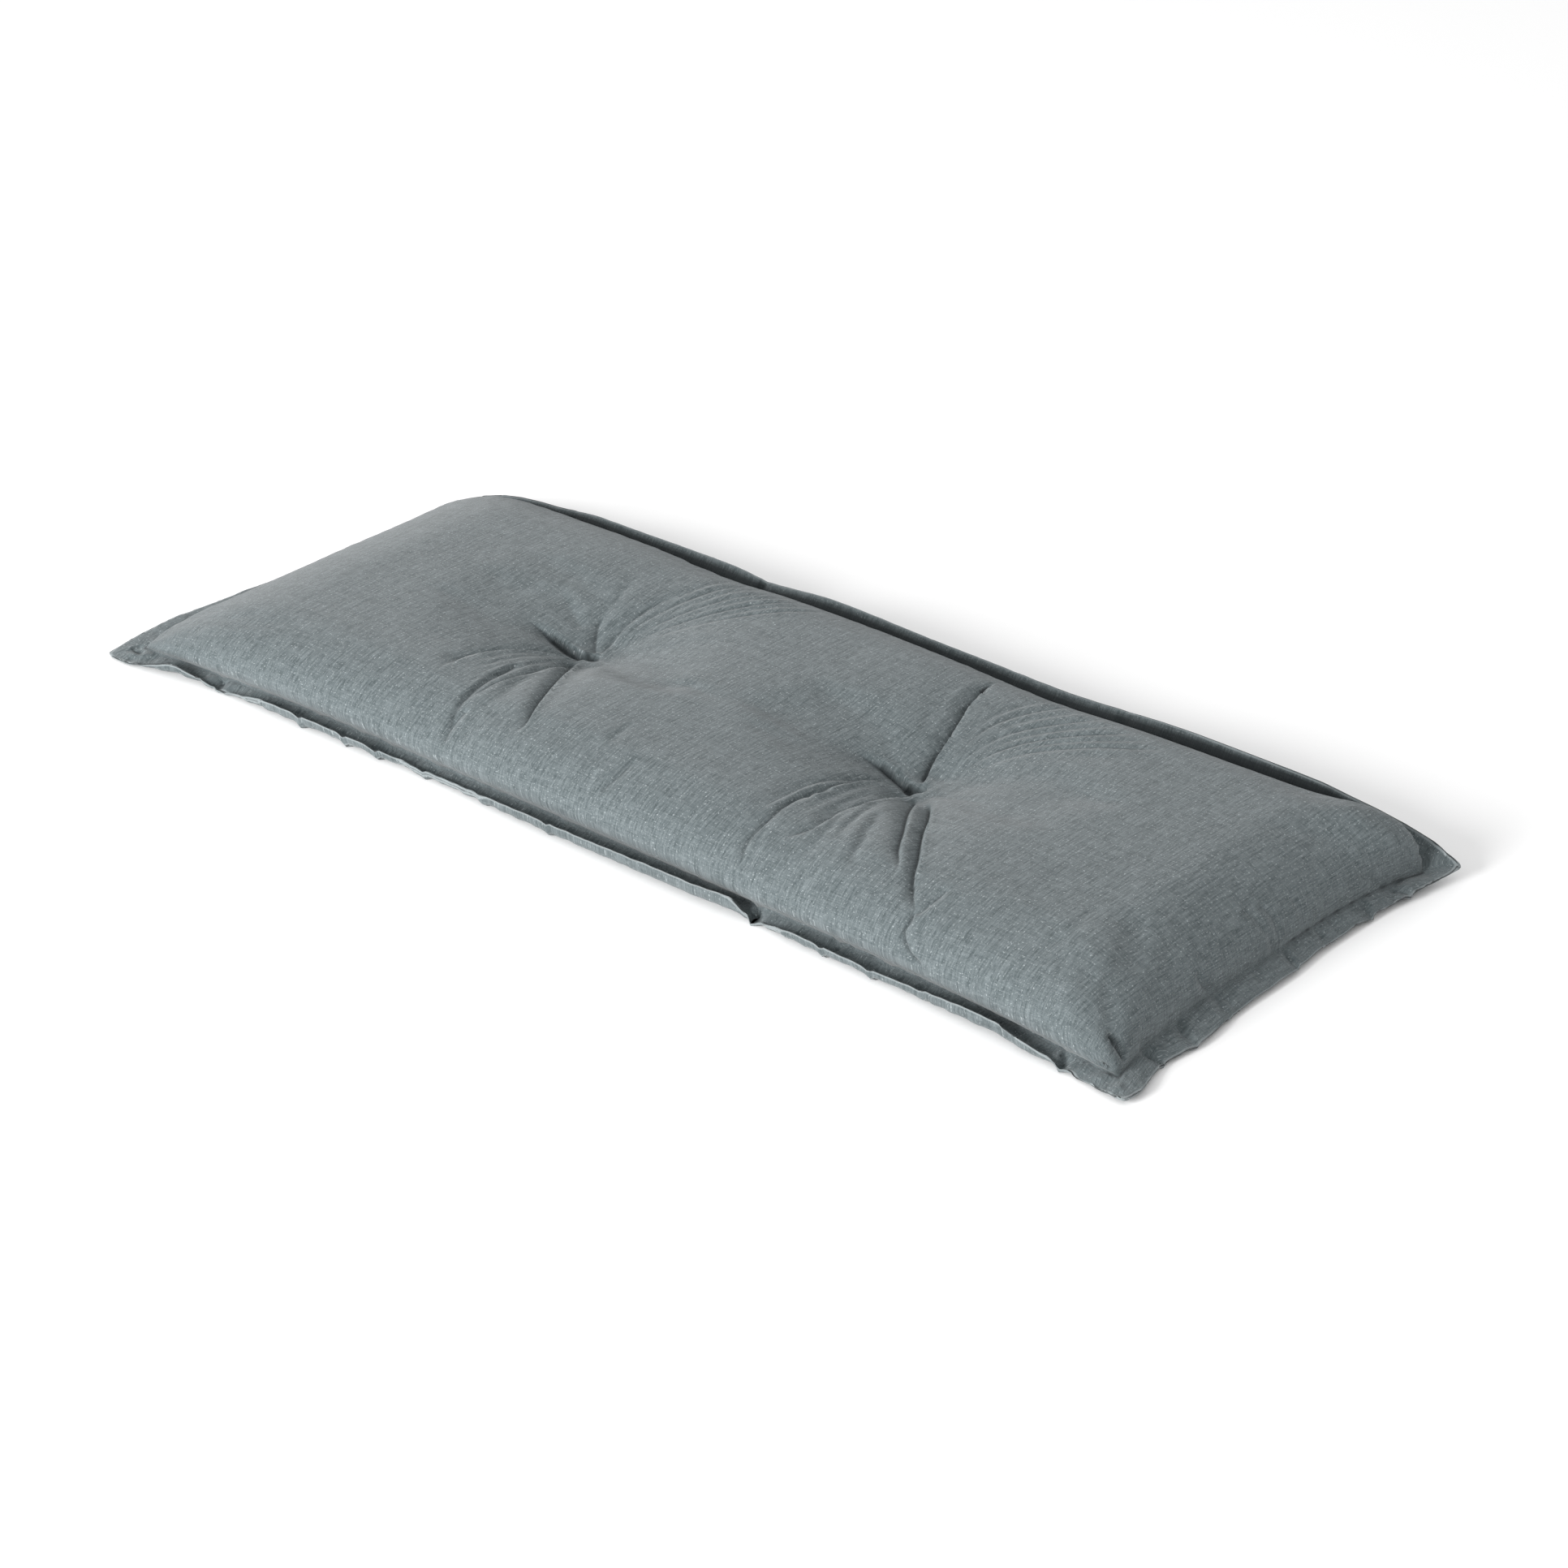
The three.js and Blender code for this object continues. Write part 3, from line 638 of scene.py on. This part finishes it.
def finer_beside(cover, rows, paths):
    """Cuts the cloth finer beside the creases, round the tufts and along the ends' seams."""
    fine = near_creases(cover, paths, FINE_BESIDE_RIPPLE, FINE_ROUND_TUFT)
    gap, side = outside_seam(places_of(cover))
    at_seam = (np.abs(gap) < FINE_BESIDE_SEAM) & (normals_of(cover)[:, 2] > FINE_SEAM_ABOVE)
    cut_long_edges(cover, fine | (at_seam & ~on_long_side(side)), LONGEST_RIPPLE_EDGE)
    deep_paths = [path for row, path in zip(rows, paths) if row["deep"] >= DEEP_CREASE]
    finest = near_creases(cover, deep_paths, FINE_BESIDE_CREASE, FINEST_ROUND_TUFT)
    cut_long_edges(cover, finest, LONGEST_CREASE_EDGE)


def smooth_last(cover):
    finer = cover.modifiers.new("smooth", "SUBSURF")
    finer.levels = 1
    finer.render_levels = 1
    select_only(cover)
    bpy.ops.object.modifier_apply(modifier=finer.name)


# Filling

def swell(cover, held):
    """Lets the cloth settle under the pressure of the filling, and keeps that shape."""
    group = cover.vertex_groups.new(name="held")
    group.add([int(n) for n in np.where(held)[0]], 1.0, "REPLACE")
    cloth = cover.modifiers.new("filling", "CLOTH")
    cloth.settings.quality = 5
    cloth.settings.mass = 0.25
    cloth.settings.tension_stiffness = 12
    cloth.settings.compression_stiffness = 12
    cloth.settings.bending_stiffness = 0.4
    cloth.settings.use_pressure = True
    cloth.settings.uniform_pressure_force = PRESSURE
    cloth.settings.effector_weights.gravity = 0
    cloth.settings.vertex_group_mass = group.name
    cloth.collision_settings.use_collision = False
    for step in range(1, SWELL_STEPS + 1):
        bpy.context.scene.frame_set(step)
    select_only(cover)
    bpy.ops.object.modifier_apply(modifier=cloth.name)
    bpy.context.scene.frame_set(1)
    cover.vertex_groups.clear()


def filled(cover):
    """Tightens the upper cloth with pressure, held at the seam, the tufts and the underside."""
    before = places_of(cover)
    normals = normals_of(cover)
    held = (marked(cover, "flange") > IS_FLANGE) | (normals[:, 2] < HELD_BELOW)
    held |= round_tufts(before, HELD_ROUND_TUFT)
    gap = outside_seam(before)[0]
    free = np.where(held, 0, eased((-gap - HELD_BESIDE_SEAM) / FREE_AFTER))
    start = before - normals * (free * SINK_FIRST * MM)[:, None]
    put_places(cover, start)
    swell(cover, held)
    move = places_of(cover) - start
    length = np.maximum(np.linalg.norm(move, axis=1), 1e-9)
    kept = np.minimum(length, MOST_SWELL * MM) / length
    put_places(cover, np.where(held[:, None], before, start + move * kept[:, None]))


# Creases and ripples

def through_places(path, surface):
    """A smooth line on the cloth through the given places, in metres."""
    rough = [Vector(place) * MM for place in path]
    points = [2 * rough[0] - rough[1]] + rough + [2 * rough[-1] - rough[-2]]
    line = []
    for n in range(1, len(points) - 2):
        a, b, c, d = points[n - 1:n + 3]
        for k in range(STEPS_TO_NEXT_PLACE):
            t = k / STEPS_TO_NEXT_PLACE
            line.append(0.5 * (2 * b + (c - a) * t + (2 * a - 5 * b + 4 * c - d) * t * t
                               + (3 * b - a - 3 * c + d) * t * t * t))
    line.append(rough[-1])
    return np.array([surface.find_nearest(point)[0] for point in line])


def distance_to(places, path):
    """Distance to a line, the share of its length at the nearest point, and that point's
    direction and offset."""
    steps = path[1:] - path[:-1]
    lengths = np.linalg.norm(steps, axis=1)
    starts = np.concatenate([[0], np.cumsum(lengths)])
    best = np.full(len(places), np.inf)
    share = np.zeros(len(places))
    direction = np.zeros((len(places), 3))
    offset = np.zeros((len(places), 3))
    for n, step in enumerate(steps):
        if lengths[n] < 1e-7:
            continue
        t = np.clip((places - path[n]) @ step / lengths[n] ** 2, 0, 1)
        away = places - (path[n] + t[:, None] * step)
        gap = np.linalg.norm(away, axis=1)
        closer = gap < best
        best[closer] = gap[closer]
        share[closer] = (starts[n] + t[closer] * lengths[n]) / starts[-1]
        direction[closer] = step / lengths[n]
        offset[closer] = away[closer]
    return best, share, direction, offset


def press_crease(places, normals, moves, fold, crease, path):
    """Adds one crease to the moves along the normals: a trough with two unlike flanks. fold takes
    how tightly the cloth is folded on the crease's own line, 1 at the line of a deep crease; the
    material paints shade along that line by it."""
    narrow = min(crease["left"], crease["right"]) * MM
    reach = CREASE_ENDS * max(crease["left"], crease["right"]) * MM
    low = path.min(axis=0) - reach
    high = path.max(axis=0) + reach
    upper = normals[:, 2] > CREASED_ABOVE
    inside = np.where(upper & ((places > low) & (places < high)).all(axis=1))[0]
    gap, share, direction, offset = distance_to(places[inside], path)
    on_left = np.einsum("ij,ij->i", np.cross(normals[inside], direction), offset) > 0
    width = np.where(on_left, crease["left"], crease["right"]) * MM
    rise = eased(share / crease.get("rise", FADE_IN))
    fade = eased((1 - share) / crease.get("fade", FADE_OUT))
    strength = np.where(gap > reach, 0, rise * fade)
    trough = np.exp(-(gap / width) ** CREASE_POWER)
    ridge = np.exp(-((gap - LIP_AT * narrow) / (LIP_WIDE * narrow)) ** 2)
    ridge = np.where(on_left == (crease["lip"] < 0), ridge, 0)
    moves[inside] += strength * (abs(crease["lip"]) * ridge - crease["deep"] * trough) * MM
    tight = min(crease["deep"] / TIGHT_FOLD, 1) * np.sqrt(strength)
    shadow = np.where(width > narrow, SLOW_FOLD, STEEP_FOLD) * MM
    fold[inside] = np.maximum(fold[inside], tight * np.clip(1 - gap / shadow, 0, 1))


def fan_ripples(fan):
    """The ripples of a fan, as rows like those of the creases."""
    first = np.array(fan["first"], float)
    last = np.array(fan["last"], float)
    rows = []
    for n in range(fan["count"]):
        uneven = FAN_UNEVEN[n % len(FAN_UNEVEN)]
        share = n / (fan["count"] - 1)
        path = first + (last - first) * share
        path[0] += (path[1] - path[0]) * FAN_START_SHIFT * (1 - uneven)
        rows.append(dict(fan, path=path, deep=fan["deep"] * uneven))
    return rows


# Folds of the flange

def ripple(along, length, seed):
    """Uneven waves between -1 and 1 along a side."""
    return np.array([noise.noise(Vector((a / length, seed, 0.37 * seed))) for a in along])


def pleats(along, out):
    """Small slanted pleats in a row, each with a long and a short flank, between -0.5 and 0.5."""
    uneven = PLEAT_UNEVEN * ripple(along, 4 * PLEAT_LENGTH, PLEAT_SEED)
    step = ((along + PLEAT_SLANT * out) / PLEAT_LENGTH + uneven) % 1
    return np.where(step < PLEAT_LONG_FLANK, step / PLEAT_LONG_FLANK,
                    (1 - step) / (1 - PLEAT_LONG_FLANK)) - 0.5


def tucked(tuck, along, out):
    """How far a tuck draws the flange down, in mm. out goes from 0 at the seam to 1."""
    run = (along - tuck["at"]) * tuck["turn"] - TUCK_SLANT * (out - 0.5)
    flank = np.where(run > 0, tuck["slow"], tuck["steep"])
    shape = np.clip(1 - np.abs(run) / flank, 0, 1) ** TUCK_POWER
    across = np.sin(math.pi * out ** 0.8) + TUCK_AT_RIM * out
    return across * shape * tuck["deep"]


def flange_layers(cover, places, normals, side):
    """For the flange: the direction from its lower layer to its upper one, alike for both layers,
    and the layer each point belongs to, 1 or -1."""
    inward = np.array([(0, 1, 0), (-1, 0, 0), (0, -1, 0), (1, 0, 0)])[side]
    facing = normals[:, 2] + FACING_INWARDS * (normals * inward).sum(axis=1)
    layer = np.where(facing >= 0, 1, -1)
    upwards = np.tile((0.0, 0.0, 1.0), (len(places), 1))
    flange = marked(cover, "flange") > PARTLY_FLANGE
    tree = tree_of(places, np.where(flange & (np.abs(facing) > SURE_FACING))[0])
    for n in np.where(flange)[0]:
        near = [found[1] for found in tree.find_n(places[n], LAYER_NEIGHBOURS)]
        mean = (normals[near] * layer[near][:, None]).sum(axis=0)
        upwards[n] = mean / max(np.linalg.norm(mean), 1e-6)
        if abs(facing[n]) <= SURE_FACING:
            above = (places[n] - places[near].mean(axis=0)) @ upwards[n]
            layer[n] = 1 if above >= 0 else -1
    return upwards, layer


def fold_flange(cover, places, normals, moves, from_rim):
    """Returns the moves of the flange's tucks, pleats and puckers, the same in both layers, and
    adds the gathers of the filled part beside the seam to the moves along the normals."""
    gap, side = outside_seam(places)
    flange = marked(cover, "flange")
    upwards, layer = flange_layers(cover, places, normals, side)
    lift = -layer * np.clip(1 - from_rim / THINNED_REACH, 0, 1) * flange * RIM_THINNER
    for number, name in enumerate(SIDES):
        here = np.where((side == number) & (gap > -GATHER_REACH))[0]
        along = places[here, 0 if name in ("front", "back") else 1] / MM
        out = np.clip(gap[here] / FLANGE_REACH, 0, 1)
        on_flange = flange[here] * eased(gap[here] / FLANGE_BEGINS)
        for tuck in TUCKS[name]:
            lift[here] -= on_flange * tucked(tuck, along, out)
        if name == "front":
            lift[here] += on_flange * np.sin(math.pi * out) * pleats(along, out) * PLEAT_HEIGHT
        puckers = ripple(along, PUCKER_LENGTH, PUCKER_SEED + number)
        lift[here] += on_flange * (1 - PUCKER_LESS_AT_RIM * out) * puckers * PUCKER_HEIGHT
        gathers = ripple(along, GATHER_LENGTH, GATHER_SEED + number)
        beside = (1 - flange[here]) * eased(1 + gap[here] / GATHER_REACH) * (layer[here] > 0)
        moves[here] += beside * gathers * GATHER_HEIGHT * MM
    return upwards * lift[:, None] * MM


def distance_from_rim(cover, places):
    """Distance of each point from the middle line of the rim, in mm."""
    rim = places[marked(cover, "rim") > IS_RIM]
    tree = tree_of(rim, range(len(rim)))
    middles = np.zeros_like(rim)
    along = np.zeros_like(rim)
    for n, place in enumerate(rim):
        near = rim[[found[1] for found in tree.find_range(place, RIM_REACH * MM)]]
        middles[n] = near.mean(axis=0)
        along[n] = np.linalg.svd(near - middles[n])[2][0]
    away = np.zeros(len(places))
    for n, place in enumerate(places):
        nearest = tree.find(place)[1]
        offset = place - middles[nearest]
        away[n] = np.linalg.norm(offset - (offset @ along[nearest]) * along[nearest])
    return away / MM


# Corners, stitched line, lumps and tufts

def fill_corners(places, normals, moves):
    """Pushes the cloth out where a corner is filled up to its end."""
    gap = outside_seam(places)[0]
    for corner in FULL_CORNERS:
        away = in_plan_from(places, corner["at"]) / (corner["wide"] * MM)
        share = np.exp(-away ** 2) * eased((corner["from_seam"] - gap) / CORNER_ENDS_OVER)
        moves += share * (normals[:, 2] > CREASED_ABOVE) * corner["out"] * MM


def seam_groove(places, moves):
    """The stitched line: a narrow groove in both layers. Returns the distance from it, in mm, by
    which the material paints shade along the groove.
    """
    gap = outside_seam(places)[0]
    lift = np.maximum(np.abs(places[:, 2] / MM - seam_up(places)) - GROOVE_BAND, 0)
    from_seam = np.hypot(gap, lift)
    moves -= np.exp(-(from_seam / GROOVE_WIDE) ** 2) * GROOVE_DEEP * MM
    return from_seam


def uneven_filling(cover, places, normals, moves):
    """Slow lumps of the filling under the upper cloth."""
    on_top = eased((normals[:, 2] + 0.1) / 0.5) * (1 - marked(cover, "flange"))
    lumps = np.array([noise.noise(Vector(place) / (LUMP_LENGTH * MM)) for place in places])
    moves += on_top * lumps * LUMP_HEIGHT * MM


def tuft_pits(places, normals, moves):
    for tuft in TUFTS:
        away = in_plan_from(places, tuft) / (PIT_WIDE * MM)
        moves -= np.exp(-away ** 2) * (normals[:, 2] > 0) * PIT_DEEP * MM


# Cloth that other cloth hides, and its painted shade

def directions_to_look():
    """Directions spread over the half above +Z, more of them near +Z."""
    golden = math.pi * (3 - math.sqrt(5))
    directions = []
    for n in range(HIDDEN_RAYS):
        across = math.sqrt((n + 0.5) / HIDDEN_RAYS)
        directions.append(Vector((across * math.cos(golden * n), across * math.sin(golden * n),
                                  math.sqrt(1 - across * across))))
    return directions


def hidden_share(cover, places, normals, wanted):
    """Share of the view over each wanted point that nearby cloth hides."""
    surface = surface_of(cover)
    hidden = np.zeros(len(places))
    directions = directions_to_look()
    up = Vector((0, 0, 1))
    for n in np.where(wanted)[0]:
        normal = Vector(normals[n])
        start = Vector(places[n]) + normal * LOOK_FROM_OUTSIDE * MM
        turn = up.rotation_difference(normal)
        blocked = [surface.ray_cast(start, turn @ direction, HIDDEN_BY * MM)[0] is not None
                   for direction in directions]
        hidden[n] = sum(blocked) / HIDDEN_RAYS
    return hidden


def evened(cover, values, rounds):
    """Values averaged with those of the neighbouring points."""
    ends = edge_ends(cover)
    count = np.bincount(ends.ravel(), minlength=len(values))
    for _ in range(rounds):
        around = np.bincount(ends[:, 0], values[ends[:, 1]], len(values))
        around += np.bincount(ends[:, 1], values[ends[:, 0]], len(values))
        values = (1 - EVENED_SHARE) * values + EVENED_SHARE * around / np.maximum(count, 1)
    return values


def painted_hidden_shade(cover, places, from_rim):
    """Painted shade: how much the cloth's colour is darkened where other cloth hides it, by side
    and at the tufts.
    """
    normals = normals_of(cover)
    gap, side = outside_seam(places)
    darkens = by_side(HIDDEN_DARKENS, side)
    at_tuft = round_tufts(places, HIDDEN_ROUND_TUFT)
    darkens[at_tuft] = HIDDEN_DARKENS_TUFT
    for corner in FULL_CORNERS:
        away = in_plan_from(places, corner["at"]) / (corner["wide"] * FULL_CORNER_WIDER * MM)
        darkens *= 1 - FULL_CORNER_CLEARS * np.exp(-away ** 2)
    darkens *= HIDDEN_AT_RIM + (1 - HIDDEN_AT_RIM) * eased(from_rim / HIDDEN_RIM_REACH)
    at_seam = (gap > -HIDDEN_BESIDE_SEAM) & (places[:, 2] > HIDDEN_OFF_FLOOR * MM)
    wanted = (at_seam | at_tuft) & (normals[:, 2] > DARKENED_ABOVE)
    return evened(cover, hidden_share(cover, places, normals, wanted), HIDDEN_EVENED) * darkens


# The cover as a whole

def tightened_cover():
    """The solid's mesh, made finer, drawn tight by the filling and smoothed."""
    cover = copy_of_the_solid()
    mark(cover, "flange", thin_places(cover))
    gap = outside_seam(places_of(cover))[0]
    mark(cover, "rim", rim_places(cover, gap))
    beneath = (normals_of(cover)[:, 2] < COARSE_BELOW) & (gap <= -FINE_INSIDE_SEAM)
    cut_long_edges(cover, ~beneath, LONGEST_EDGE)
    cut_long_edges(cover, marked(cover, "flange") > IS_FLANGE, LONGEST_FLANGE_EDGE)
    filled(cover)
    smooth_last(cover)
    return cover


def cloth_lay(places, normals):
    """Where each point lies on the flat cloth: the sides are laid out beyond the top's edge."""
    drop = np.clip(EDGE_OF_TOP * MM - places[:, 2], 0, None)
    lay = places.copy()
    lay[:, 0] += normals[:, 0] * drop
    lay[:, 1] += normals[:, 1] * drop
    lay[:, 2] = 0
    return lay


def padded_cover():
    cover = tightened_cover()
    rows = CREASES + [row for fan in FANS for row in fan_ripples(fan)]
    surface = surface_of(cover)
    paths = [through_places(row["path"], surface) for row in rows]
    finer_beside(cover, rows, paths)

    places = places_of(cover)
    normals = normals_of(cover)
    lay = cloth_lay(places, normals)
    from_rim = distance_from_rim(cover, places)
    moves = np.zeros(len(places))
    fold = np.zeros(len(places))
    for row, path in zip(rows, paths):
        press_crease(places, normals, moves, fold, row, path)
    shift = fold_flange(cover, places, normals, moves, from_rim)
    fill_corners(places, normals, moves)
    from_seam = seam_groove(places, moves)
    uneven_filling(cover, places, normals, moves)
    tuft_pits(places, normals, moves)
    moves[places[:, 2] <= LEFT_FLAT_BELOW * MM] = 0
    places = places + normals * moves[:, None] + shift
    places[:, 2] = np.maximum(places[:, 2], 0)
    put_places(cover, places)

    # These marks carry the painted shade of hidden cloth and folds, and the painted highlight and
    # shade at the rim and the stitched line.
    mark(cover, "hidden", painted_hidden_shade(cover, places, from_rim))
    mark(cover, "fold", fold)
    mark(cover, "from_rim", from_rim)
    mark(cover, "from_seam", from_seam)
    attribute = cover.data.attributes.new("lay", "FLOAT_VECTOR", "POINT")
    attribute.data.foreach_set("vector", lay.ravel())
    return cover


# Cloth

def node_of(tree, kind, at):
    node = tree.nodes.new(kind)
    node.location = at
    return node


def put_values(node, values):
    for name, value in values.items():
        node.inputs[name].default_value = value


def stretched_noise(tree, lay, pattern, at):
    """Noise over the laid-out cloth, stretched to the pattern's waves."""
    mapping = node_of(tree, "ShaderNodeMapping", at)
    put_values(mapping, {"Scale": (*pattern["waves"], 1)})
    waves = node_of(tree, "ShaderNodeTexNoise", (at[0] + 200, at[1]))
    waves.label = pattern["name"]
    put_values(waves, {"Scale": 1, "Detail": pattern["detail"],
                       "Roughness": pattern["roughness"]})
    tree.links.new(lay, mapping.inputs["Vector"])
    tree.links.new(mapping.outputs["Vector"], waves.inputs["Vector"])
    return waves.outputs["Fac"]


def mapped(tree, value, ends, results, at):
    """Goes from the first of the results to the second while the value passes the two ends."""
    node = node_of(tree, "ShaderNodeMapRange", at)
    put_values(node, {"From Min": ends[0], "From Max": ends[1],
                      "To Min": results[0], "To Max": results[1]})
    tree.links.new(value, node.inputs["Value"])
    return node.outputs["Result"]


def added(tree, first, second, at):
    node = node_of(tree, "ShaderNodeMath", at)
    node.operation = "ADD"
    tree.links.new(first, node.inputs[0])
    tree.links.new(second, node.inputs[1])
    return node.outputs[0]


def mixed(tree, share, first, second, at):
    """The first colour with a share of the second. A colour is a value or comes from a node."""
    node = node_of(tree, "ShaderNodeMix", at)
    node.data_type = "RGBA"
    tree.links.new(share, node.inputs[0])
    for socket, colour in ((node.inputs[6], first), (node.inputs[7], second)):
        if isinstance(colour, tuple):
            socket.default_value = colour
        else:
            tree.links.new(colour, socket)
    return node.outputs[2]


def mark_of(tree, name, at):
    node = node_of(tree, "ShaderNodeAttribute", at)
    node.attribute_name = name
    return node.outputs["Vector" if name == "lay" else "Fac"]


def yarn_lightness(tree, lay):
    """The patterns of the yarns added up: about 0 on dark yarn and 1 on light yarn."""
    parts = []
    for n, pattern in enumerate(PATTERNS):
        waves = stretched_noise(tree, lay, pattern, (-1500, -300 * n))
        parts.append(mapped(tree, waves, PATTERN_ENDS, pattern["adds"], (-1000, -300 * n)))
    lightness = parts[0]
    for n, part in enumerate(parts[1:]):
        lightness = added(tree, lightness, part, (-800, -300 * n))
    return lightness


def tinted(tree, colour):
    """The colour with painted light and shade: a highlight on the rim's edge, and shade in the
    rim's joint, the stitched line, the folds and hidden cloth.
    """
    for n, tint in enumerate(TINTS):
        value = mark_of(tree, tint["mark"], (-1000, -1900 - 200 * n))
        share = mapped(tree, value, tint["ends"], tint["shares"], (-600, -1900 - 200 * n))
        share.node.label = tint["name"]
        colour = mixed(tree, share, colour, tint["colour"], (200 * n - 200, 300))
    return colour


def heathered_cloth():
    material = bpy.data.materials.new("heathered_cloth")
    material.use_nodes = True
    tree = material.node_tree
    shader = tree.nodes["Principled BSDF"]
    lay = mark_of(tree, "lay", (-1800, 0))

    yarns = yarn_lightness(tree, lay)
    flecks = stretched_noise(tree, lay, FLECKS, (-1500, 300))
    fleck_share = mapped(tree, flecks, FLECK_ENDS, (0, MOST_FLECK), (-1000, 300))
    colour = mixed(tree, yarns, YARN_DARK, YARN_LIGHT, (-600, 300))
    colour = mixed(tree, fleck_share, colour, FLECK_AND_HIGHLIGHT, (-400, 300))
    tree.links.new(tinted(tree, colour), shader.inputs["Base Color"])

    roughness = mapped(tree, yarns, (0, 1), (0.96, 0.82), (-400, -200))
    tree.links.new(roughness, shader.inputs["Roughness"])
    relief = node_of(tree, "ShaderNodeBump", (-200, -500))
    put_values(relief, {"Strength": 0.55, "Distance": 0.6 * MM})
    tree.links.new(added(tree, yarns, fleck_share, (-400, -500)), relief.inputs["Height"])
    tree.links.new(relief.outputs["Normal"], shader.inputs["Normal"])
    put_values(shader, {"Specular IOR Level": 0.25, "Sheen Weight": 0.18,
                        "Sheen Roughness": 0.5})
    return material


# Studio

def pale_floor():
    bpy.ops.object.select_all(action="DESELECT")
    bpy.ops.mesh.primitive_plane_add(size=FLOOR_SIZE, location=(0, 0, 0))
    floor = bpy.context.active_object
    floor.name = "studio_floor"
    paint = bpy.data.materials.new("floor_paint")
    paint.use_nodes = True
    put_values(paint.node_tree.nodes["Principled BSDF"],
               {"Base Color": FLOOR_WHITE, "Roughness": 0.9, "Specular IOR Level": 0.1})
    floor.data.materials.append(paint)


def soft_lamp(name, place, size, power):
    bpy.ops.object.light_add(type="AREA", location=place)
    lamp = bpy.context.active_object
    lamp.name = name
    lamp.data.shape = "DISK"
    lamp.data.size = size
    lamp.data.energy = power
    lamp.rotation_euler = (-Vector(place)).to_track_quat("-Z", "Y").to_euler()


def studio_light():
    world = bpy.data.worlds.new("studio")
    world.use_nodes = True
    put_values(world.node_tree.nodes["Background"],
               {"Color": (1, 1, 1, 1), "Strength": WORLD_LIGHT})
    bpy.context.scene.world = world
    soft_lamp("key_lamp", **KEY_LAMP)
    bpy.context.scene.view_settings.view_transform = "Standard"
    bpy.context.scene.view_settings.look = "None"


photo_camera()
cover = padded_cover()
cover.data.materials.clear()
cover.data.materials.append(heathered_cloth())
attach(cover, "root")
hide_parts("cushion")
pale_floor()
studio_light()
